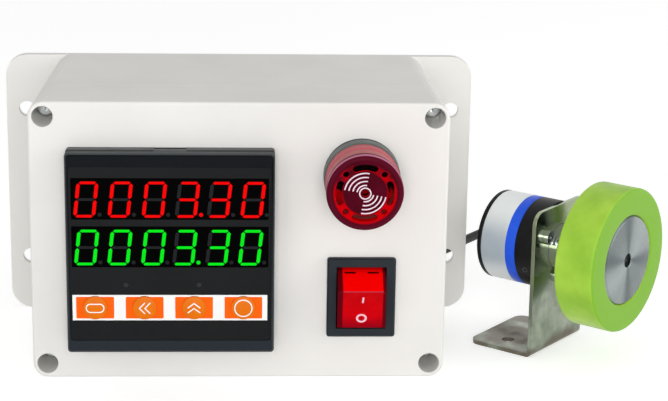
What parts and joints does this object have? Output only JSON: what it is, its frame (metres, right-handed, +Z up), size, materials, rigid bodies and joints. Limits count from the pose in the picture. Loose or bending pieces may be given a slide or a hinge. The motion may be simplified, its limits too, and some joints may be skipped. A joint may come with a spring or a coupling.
{
  "type": "cable length counter",
  "caption": "Wall-ear enclosure with a two-line preset meter, sounder and rocker switch, cabled to a measuring wheel on a bracketed rotary encoder.",
  "frame": {"origin": "middle of the enclosure's bottom face, on the surface that the enclosure and the bracket stand on", "axes": "+X to the right towards the measuring wheel, +Y away from the reader through the enclosure's back, +Z up"},
  "size_m": [0.2452, 0.1896, 0.1006],
  "materials": {
    "enclosure": "light grey moulded ABS, fine spark texture",
    "seal": "black sealing cord",
    "plated_steel": "zinc-plated screws, blades and pins",
    "bezel": "blue-black moulded frame and case",
    "face": "dark grey face plate",
    "filter": "smoked black window filter",
    "display": "digit block",
    "lamp": "diffused lamp, not lit",
    "key": "orange domed key",
    "board": "green circuit board",
    "black_plastic": "black moulded plastic",
    "green_plastic": "green terminal moulding",
    "core": "transformer core and windings",
    "sounder_grey": "grey moulded base and thread",
    "sounder_red": "clear crimson lens",
    "rocker_red": "clear red paddle",
    "nylon": "black nylon gland",
    "rubber": "black rubber relief or plug",
    "bracket": "bare rolled steel with a grey-green tarnish",
    "encoder_black": "black anodised body and cap",
    "encoder_blue": "blue ring",
    "encoder_silver": "silver-grey cover",
    "steel": "ground steel shaft and bearings",
    "disc": "clear code disc",
    "hub": "faced aluminium, turned in rings",
    "tyre": "clear lime-green polyurethane",
    "cable": "dark grey PVC sheath",
    "tie": "black nylon tie"
  },
  "bodies": {
    "enclosure": {"enclosure_base": "enclosure", "enclosure_lid": "enclosure", "lid_seal": "seal", "lid_screws": "plated_steel", "counter_bezel": "bezel", "counter_face": "face", "upper_window": "filter", "lower_window": "filter", "upper_display": "display", "lower_display": "display", "display_board": "board", "key_switches": "black_plastic", "indicator_lamps": "lamp", "counter_case": "bezel", "main_board": "board", "power_transformer": "core", "output_relay": "black_plastic", "terminal_block": "green_plastic", "terminal_screws": "plated_steel", "counter_clamps": "black_plastic", "sounder_body": "sounder_grey", "sounder_lens": "sounder_red", "sounder_capsule": "black_plastic", "sounder_seal": "seal", "sounder_nut": "sounder_grey", "sounder_pins": "plated_steel", "rocker_frame": "black_plastic", "rocker_blades": "plated_steel", "encoder_gland": "nylon", "encoder_gland_dome": "nylon", "encoder_gland_seal": "rubber", "power_gland": "nylon", "power_gland_dome": "nylon", "power_gland_plug": "rubber", "gland_lock_nuts": "nylon", "bracket": "bracket", "bracket_screws": "plated_steel", "encoder_body": "encoder_black", "encoder_ring": "encoder_blue", "encoder_cover": "encoder_silver", "encoder_cap": "encoder_black", "front_bearing": "steel", "rear_bearing": "steel", "sensor_board": "board", "cable_grommet": "rubber", "cable_run": "cable", "cable_coil": "cable", "cable_rise": "cable", "cable_tie": "tie", "inner_lead": "cable"},
    "wheel": {"wheel_tyre": "tyre", "wheel_hub": "hub", "hub_grub_screw": "steel", "encoder_shaft": "steel", "code_disc": "disc"},
    "paddle": {"rocker_paddle": "rocker_red"},
    "set_key": {"set_key": "key"},
    "shift_key": {"shift_key": "key"},
    "up_key": {"up_key": "key"},
    "reset_key": {"reset_key": "key"}
  },
  "joints": [
    {"name": "wheel_spin", "type": "hinge", "parent": "enclosure", "child": "wheel", "pos_m": [0.1184, -0.007, 0.039], "axis": [0.7771, -0.6293, 0], "continuous": true},
    {"name": "rocker_tilt", "type": "hinge", "parent": "enclosure", "child": "paddle", "pos_m": [0.043, -0.036, 0.0304], "axis": [-1, 0, 0], "range_deg": [0, 28]},
    {"name": "set_key_press", "type": "slide", "parent": "enclosure", "child": "set_key", "axis": [0, 1, 0], "range_m": [0, 0.0005], "stiffness_N_per_m": 400, "springref_m": -0.001},
    {"name": "shift_key_press", "type": "slide", "parent": "enclosure", "child": "shift_key", "axis": [0, 1, 0], "range_m": [0, 0.0005], "stiffness_N_per_m": 400, "springref_m": -0.001},
    {"name": "up_key_press", "type": "slide", "parent": "enclosure", "child": "up_key", "axis": [0, 1, 0], "range_m": [0, 0.0005], "stiffness_N_per_m": 400, "springref_m": -0.001},
    {"name": "reset_key_press", "type": "slide", "parent": "enclosure", "child": "reset_key", "axis": [0, 1, 0], "range_m": [0, 0.0005], "stiffness_N_per_m": 400, "springref_m": -0.001}
  ]
}
